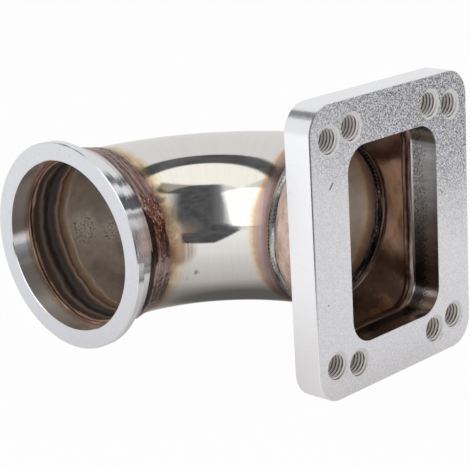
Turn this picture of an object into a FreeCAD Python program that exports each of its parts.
"""Turbo elbow adapter: a thick tapped flange plate, a sheet transition from its
rectangular port to round tube, a short 90 degree tube bend, and a turned V-band
flange on the far end, joined by welds inside and out.

The frame is the flange plate's own. The origin is the centre of the port on the
plate's gasket face. +X leaves that face, +Z runs along the plate's long side, and
the V-band flange looks along -Y. Lengths are in millimetres.
"""

import FreeCAD, Part
import math
import os

from FreeCAD import Placement, Rotation, Vector

# Flange plate: its rectangular port, how far the hole centres of the wide and the
# narrow pattern lie outside the port's sides and ends, and the metal beyond them.
PORT_WIDTH = 59.0
PORT_HEIGHT = 85.5
PORT_CORNER_RADIUS = 11.5
WIDE_SIDE_OFFSET = 10.5
WIDE_END_OFFSET = 5.5
NARROW_SIDE_OFFSET = -3.5
NARROW_END_OFFSET = 8.25
SIDE_MARGIN = 11.75
END_MARGIN = 12.25
PLATE_THICKNESS = 14.0
PLATE_CORNER_RADIUS = 12.5
PLATE_EDGE_BREAK = 0.5
THREAD_RADIUS = 6.0
COUNTERSINK_DEPTH = 0.7

# Tube bend: 3 inch tube bent on a 3 inch centre-line radius. The bend's first few
# degrees are cut away for a shorter adapter, and a short straight run follows it.
TUBE_RADIUS = 38.1
WALL = 2.0
BEND_RADIUS = 76.2
BEND_ANGLE = 90.0
BEND_CUT_BACK = 7.2
STRAIGHT_RUN = 6.3

# Transition between the port and the tube.
PORT_STEP = 0.5
PORT_COLLAR = 6.0
TRANSITION_LENGTH = 23.0
ROUND_COLLAR = 4.0

# V-band flange: a turned ring with a flat sealing face, a rim that the clamp grips,
# a 20 degree flank and a neck that takes the tube in a socket.
RIM_HEIGHT = 4.6
RIM_WIDTH = 4.0
RIM_EDGE_BREAK = 0.4
FLANK_ANGLE = 20.0
NECK_WALL = 3.1
NECK_LENGTH = 13.0
SOCKET_SHOULDER = 11.0
SHOULDER_STEP = 0.5
SOCKET_CLEARANCE = 0.05

# Welds.
PLATE_FILLET_LEG = 3.0
PLATE_ROOT_WIDTH = 5.5
PLATE_ROOT_HEIGHT = 1.1
BUTT_CAP_WIDTH = 5.5
BUTT_CAP_HEIGHT = 1.6
BUTT_ROOT_WIDTH = 7.0
BUTT_ROOT_HEIGHT = 1.4
NECK_FILLET_LENGTH = 10.5
NECK_FILLET_HEIGHT = 2.6
SOCKET_ROOT_LEG = 1.5
BEAD_TOE = 0.6

# Places that follow from the sizes above.
WIDE_PATTERN = (PORT_WIDTH + 2 * WIDE_SIDE_OFFSET, PORT_HEIGHT + 2 * WIDE_END_OFFSET)
NARROW_PATTERN = (PORT_WIDTH + 2 * NARROW_SIDE_OFFSET, PORT_HEIGHT + 2 * NARROW_END_OFFSET)
PLATE_WIDTH = WIDE_PATTERN[0] + 2 * SIDE_MARGIN
PLATE_HEIGHT = NARROW_PATTERN[1] + 2 * END_MARGIN
PLATE_BACK_X = -PLATE_THICKNESS
WELD_X = PLATE_BACK_X - TRANSITION_LENGTH
BEND_START_X = WELD_X + BEND_CUT_BACK
BEND_CENTRE = Vector(BEND_START_X, -BEND_RADIUS, 0)
TUBE_BORE_RADIUS = TUBE_RADIUS - WALL
BORE_RADIUS = TUBE_RADIUS - SHOULDER_STEP
SOCKET_RADIUS = TUBE_RADIUS + SOCKET_CLEARANCE
NECK_RADIUS = TUBE_RADIUS + NECK_WALL
RIM_RADIUS = NECK_RADIUS + RIM_HEIGHT
TUBE_AXIS_X = BEND_START_X - BEND_RADIUS
TUBE_END_Y = -BEND_RADIUS - STRAIGHT_RUN
VBAND_CENTRE = Vector(TUBE_AXIS_X, TUBE_END_Y - SOCKET_SHOULDER, 0)

X_AXIS = Vector(1, 0, 0)
Y_AXIS = Vector(0, 1, 0)
Z_AXIS = Vector(0, 0, 1)


def corner_points(width, height, radius):
    """The eight tangent points of a rounded rectangle and the middles of its corner
    arcs, as (y, z), anticlockwise from the lower end of the right side."""
    half_w, half_h = width / 2, height / 2
    slack = radius * (1 - math.sqrt(0.5))
    tangents = []
    middles = []
    for sy, sz in ((1, 1), (-1, 1), (-1, -1), (1, -1)):
        side = (sy * half_w, sz * (half_h - radius))
        end = (sy * (half_w - radius), sz * half_h)
        tangents += [side, end] if sy * sz > 0 else [end, side]
        middles.append((sy * (half_w - slack), sz * (half_h - slack)))
    return tangents, middles


def rounded_rectangle(x, width, height, radius):
    """A rounded rectangle wire in the plane at x, made of four lines and four arcs."""
    tangents, middles = corner_points(width, height, radius)
    points = [Vector(x, y, z) for y, z in tangents]
    edges = []
    for i, (y, z) in enumerate(middles):
        start, end = points[2 * i], points[2 * i + 1]
        edges.append(Part.Arc(start, Vector(x, y, z), end).toShape())
        edges.append(Part.LineSegment(end, points[(2 * i + 2) % 8]).toShape())
    return Part.Wire(edges)


def matched_circle(x, radius, width, height, corner_radius):
    """A circle wire in the plane at x, split at the same polar angles as the rounded
    rectangle's tangent points, so that a loft joins like with like."""
    tangents, _ = corner_points(width, height, corner_radius)
    angles = [math.atan2(z, y) for y, z in tangents]
    edges = []
    for i, start in enumerate(angles):
        turn = (angles[(i + 1) % 8] - start) % (2 * math.pi)
        on_circle = [
            Vector(x, radius * math.cos(a), radius * math.sin(a))
            for a in (start, start + turn / 2, start + turn)
        ]
        edges.append(Part.Arc(*on_circle).toShape())
    return Part.Wire(edges)


def prism(wire, depth):
    """The solid swept by a flat wire along -X for the given depth."""
    return Part.Face(wire).extrude(Vector(-depth, 0, 0))


def along_x(x_start, x_end, radius):
    """A cylinder on the X axis between two stations."""
    return Part.makeCylinder(radius, abs(x_end - x_start), Vector(x_start, 0, 0),
                             Vector(math.copysign(1, x_end - x_start), 0, 0))


def turned(profile, base, axis):
    """The solid of revolution of a closed wire about an axis."""
    return Part.Face(profile).revolve(base, axis, 360)


def hole_places():
    """The centres of the eight tapped holes, as (y, z)."""
    return [
        (sy * width / 2, sz * height / 2)
        for width, height in (WIDE_PATTERN, NARROW_PATTERN)
        for sy in (-1, 1)
        for sz in (-1, 1)
    ]


def tapped_hole(y, z):
    """The cutter of one hole: its bore at the thread's outer radius, and the
    45 degree countersinks of both faces."""
    bore = Part.makeCylinder(THREAD_RADIUS, PLATE_THICKNESS, Vector(0, y, z), -X_AXIS)
    mouth = THREAD_RADIUS + COUNTERSINK_DEPTH
    front = Part.makeCone(mouth, THREAD_RADIUS, COUNTERSINK_DEPTH,
                          Vector(0, y, z), -X_AXIS)
    back = Part.makeCone(mouth, THREAD_RADIUS, COUNTERSINK_DEPTH,
                         Vector(PLATE_BACK_X, y, z), X_AXIS)
    return bore.fuse([front, back])


def make_turbo_flange():
    """The thick plate with its broken edges, rectangular port and tapped holes."""
    blank = prism(rounded_rectangle(0, PLATE_WIDTH, PLATE_HEIGHT, PLATE_CORNER_RADIUS),
                  PLATE_THICKNESS)
    rims = [
        edge for edge in blank.Edges
        if abs(edge.BoundBox.XMax - edge.BoundBox.XMin) < PLATE_THICKNESS / 2
    ]
    blank = blank.makeChamfer(PLATE_EDGE_BREAK, rims)
    port = prism(rounded_rectangle(0, PORT_WIDTH, PORT_HEIGHT, PORT_CORNER_RADIUS),
                 PLATE_THICKNESS)
    return blank.cut([port] + [tapped_hole(y, z) for y, z in hole_places()])


def transition_form(offset):
    """The transition's form at a distance outside the sheet's inner face: a
    rectangular collar, a loft and a round collar."""
    grown = PORT_STEP + offset
    width = PORT_WIDTH + 2 * grown
    height = PORT_HEIGHT + 2 * grown
    corner = PORT_CORNER_RADIUS + grown
    radius = TUBE_BORE_RADIUS + offset
    loft_start = PLATE_BACK_X - PORT_COLLAR
    loft_end = WELD_X + ROUND_COLLAR
    collar = prism(rounded_rectangle(PLATE_BACK_X, width, height, corner), PORT_COLLAR)
    loft = Part.makeLoft(
        [
            rounded_rectangle(loft_start, width, height, corner),
            matched_circle(loft_end, radius, width, height, corner),
        ],
        True,
        True,
    )
    spigot = along_x(loft_end, WELD_X, radius)
    return collar.fuse([loft, spigot]).removeSplitter()


def bend_form(radius):
    """A solid bend of the given radius: a quarter turn and the straight run that
    goes into the V-band flange, cut off flat at the weld to the transition."""
    section = Part.Wire(Part.makeCircle(radius, Vector(BEND_START_X, 0, 0), X_AXIS))
    turn = Part.Face(section).revolve(BEND_CENTRE, Z_AXIS, BEND_ANGLE)
    straight = Part.makeCylinder(radius, STRAIGHT_RUN,
                                 Vector(TUBE_AXIS_X, -BEND_RADIUS, 0), -Y_AXIS)
    whole = turn.fuse(straight)
    size = 4 * BEND_RADIUS
    beyond = Part.makeBox(size, size, size, Vector(WELD_X, -size / 2, -size / 2))
    return whole.cut(beyond)


def vband_station(depth, radius):
    """A point of the V-band flange's section: depth behind its sealing face, and
    radius from its axis."""
    return VBAND_CENTRE + Vector(radius, depth, 0)


def vband_ring(points):
    """The ring whose section is a polygon of (depth, radius) points."""
    corners = [vband_station(*p) for p in points]
    wire = Part.makePolygon(corners + corners[:1])
    return turned(wire, VBAND_CENTRE, Y_AXIS)


def make_vband_flange():
    """The turned ring, from its sealing face back to the end of its neck."""
    flank_drop = RIM_RADIUS - RIM_EDGE_BREAK - NECK_RADIUS
    flank_end = RIM_WIDTH + flank_drop * math.tan(math.radians(FLANK_ANGLE))
    return vband_ring([
        (0, BORE_RADIUS + RIM_EDGE_BREAK),
        (0, RIM_RADIUS - RIM_EDGE_BREAK),
        (RIM_EDGE_BREAK, RIM_RADIUS),
        (RIM_WIDTH - RIM_EDGE_BREAK, RIM_RADIUS),
        (RIM_WIDTH, RIM_RADIUS - RIM_EDGE_BREAK),
        (flank_end, NECK_RADIUS),
        (NECK_LENGTH, NECK_RADIUS),
        (NECK_LENGTH, SOCKET_RADIUS),
        (SOCKET_SHOULDER, SOCKET_RADIUS),
        (SOCKET_SHOULDER, BORE_RADIUS),
        (RIM_EDGE_BREAK, BORE_RADIUS),
    ])


def butt_ring(width, foot_radius, toe_radius, crown_radius):
    """A bead ring about the X axis, centred on the butt joint. Its section stands on
    a foot inside the sheet, has a short upright toe at each side and a round crown."""
    left, right = WELD_X - width / 2, WELD_X + width / 2
    corners = [
        Vector(left, foot_radius, 0),
        Vector(left, toe_radius, 0),
        Vector(right, toe_radius, 0),
        Vector(right, foot_radius, 0),
    ]
    section = Part.Wire([
        Part.LineSegment(corners[0], corners[1]).toShape(),
        Part.Arc(corners[1], Vector(WELD_X, crown_radius, 0), corners[2]).toShape(),
        Part.LineSegment(corners[2], corners[3]).toShape(),
        Part.LineSegment(corners[3], corners[0]).toShape(),
    ])
    return turned(section, Vector(0, 0, 0), X_AXIS)


def make_transition_weld(outer_forms):
    """The cap of the butt weld between the transition and the bend: what stands out
    of the two sheets' outer forms."""
    cap = butt_ring(BUTT_CAP_WIDTH, TUBE_RADIUS - WALL,
                    TUBE_RADIUS + BEAD_TOE, TUBE_RADIUS + BUTT_CAP_HEIGHT)
    return cap.cut(outer_forms)


def make_transition_root(inner_forms):
    """The same weld's root: what stands inside the two sheets' inner forms."""
    root = butt_ring(BUTT_ROOT_WIDTH, TUBE_BORE_RADIUS + WALL,
                     TUBE_BORE_RADIUS - BEAD_TOE, TUBE_BORE_RADIUS - BUTT_ROOT_HEIGHT)
    halves = inner_forms[0].fuse(inner_forms[1])
    return root.common(halves)


def make_vband_weld(outer_bend, flange):
    """The fillet outside, from the neck's end face down to the tube."""
    foot = TUBE_RADIUS - WALL / 2
    end = NECK_LENGTH + NECK_FILLET_LENGTH
    heel = vband_station(NECK_LENGTH, foot)
    top = vband_station(NECK_LENGTH, TUBE_RADIUS + NECK_FILLET_HEIGHT)
    crown = vband_station(NECK_LENGTH + NECK_FILLET_LENGTH * 0.45,
                          TUBE_RADIUS + NECK_FILLET_HEIGHT * 0.75)
    toe = vband_station(end, TUBE_RADIUS + BEAD_TOE)
    inner_toe = vband_station(end, foot)
    section = Part.Wire([
        Part.LineSegment(heel, top).toShape(),
        Part.Arc(top, crown, toe).toShape(),
        Part.LineSegment(toe, inner_toe).toShape(),
        Part.LineSegment(inner_toe, heel).toShape(),
    ])
    return turned(section, VBAND_CENTRE, Y_AXIS).cut([outer_bend, flange])


def make_vband_root():
    """The small fillet inside, between the flange's bore and the tube's end face."""
    return vband_ring([
        (SOCKET_SHOULDER, BORE_RADIUS),
        (SOCKET_SHOULDER - SOCKET_ROOT_LEG, BORE_RADIUS),
        (SOCKET_SHOULDER, BORE_RADIUS - SOCKET_ROOT_LEG),
    ])


def bead_section(start, end, crown):
    """A closed wire: a straight foot from start to end, and an arc over it that
    rises to the crown point."""
    return Part.Wire([
        Part.Arc(start, crown, end).toShape(),
        Part.LineSegment(end, start).toShape(),
    ])


def swept_round_port(section, grown):
    """A section carried round the collar's rounded rectangle, which is the port's
    own outline grown by the given distance."""
    spine = rounded_rectangle(
        PLATE_BACK_X,
        PORT_WIDTH + 2 * grown,
        PORT_HEIGHT + 2 * grown,
        PORT_CORNER_RADIUS + grown,
    )
    sweep = Part.BRepOffsetAPI.MakePipeShell(spine)
    sweep.setFrenetMode(True)
    sweep.add(section, False, False)
    sweep.build()
    sweep.makeSolid()
    return sweep.shape()


def make_plate_weld():
    """The fillet outside, between the collar and the plate's back, clear of the
    tapped holes that were drilled through it."""
    grown = PORT_STEP + WALL
    y_foot = PORT_WIDTH / 2 + grown
    z_foot = PORT_CORNER_RADIUS - PORT_HEIGHT / 2
    leg = PLATE_FILLET_LEG
    bulge = 0.58 * leg
    corner = Vector(PLATE_BACK_X, y_foot, z_foot)
    on_plate = corner + Vector(0, leg, 0)
    on_collar = corner + Vector(-leg, 0, 0)
    section = Part.Wire([
        Part.LineSegment(corner, on_plate).toShape(),
        Part.Arc(on_plate, corner + Vector(-bulge, bulge, 0), on_collar).toShape(),
        Part.LineSegment(on_collar, corner).toShape(),
    ])
    bead = swept_round_port(section, grown)
    drills = [
        Part.makeCylinder(THREAD_RADIUS + COUNTERSINK_DEPTH, 2 * leg,
                          Vector(PLATE_BACK_X, y, z), -X_AXIS)
        for y, z in hole_places()
    ]
    return bead.cut(drills)


def make_plate_root():
    """The bead inside, over the step between the port and the collar."""
    y_foot = PORT_WIDTH / 2 + PORT_STEP
    z_foot = PORT_CORNER_RADIUS - PORT_HEIGHT / 2
    start = Vector(PLATE_BACK_X, y_foot, z_foot)
    end = start + Vector(-PLATE_ROOT_WIDTH, 0, 0)
    crown = (start + end) / 2 + Vector(0, -PLATE_ROOT_HEIGHT, 0)
    return swept_round_port(bead_section(start, end, crown), PORT_STEP)


def main():
    outer_transition, inner_transition = transition_form(WALL), transition_form(0)
    outer_bend, inner_bend = bend_form(TUBE_RADIUS), bend_form(TUBE_BORE_RADIUS)
    vband_flange = make_vband_flange()
    pieces = {
        "turbo_flange": make_turbo_flange(),
        "port_transition": outer_transition.cut(inner_transition),
        "elbow_tube": outer_bend.cut(inner_bend),
        "vband_flange": vband_flange,
        "plate_weld_outer": make_plate_weld(),
        "plate_weld_root": make_plate_root(),
        "transition_weld_outer": make_transition_weld([outer_bend, outer_transition]),
        "transition_weld_root": make_transition_root([inner_bend, inner_transition]),
        "vband_weld_outer": make_vband_weld(outer_bend, vband_flange),
        "vband_weld_root": make_vband_root(),
    }
    os.makedirs("parts", exist_ok=True)
    for name, shape in pieces.items():
        shape.exportStep(f"parts/{name}.step")
        box = shape.BoundBox
        print(f"{name}: {len(shape.Solids)} solid, valid {shape.isValid()}, "
              f"{shape.Volume / 1000:.2f} cm3, "
              f"{box.XLength:.1f} x {box.YLength:.1f} x {box.ZLength:.1f} mm")


main()
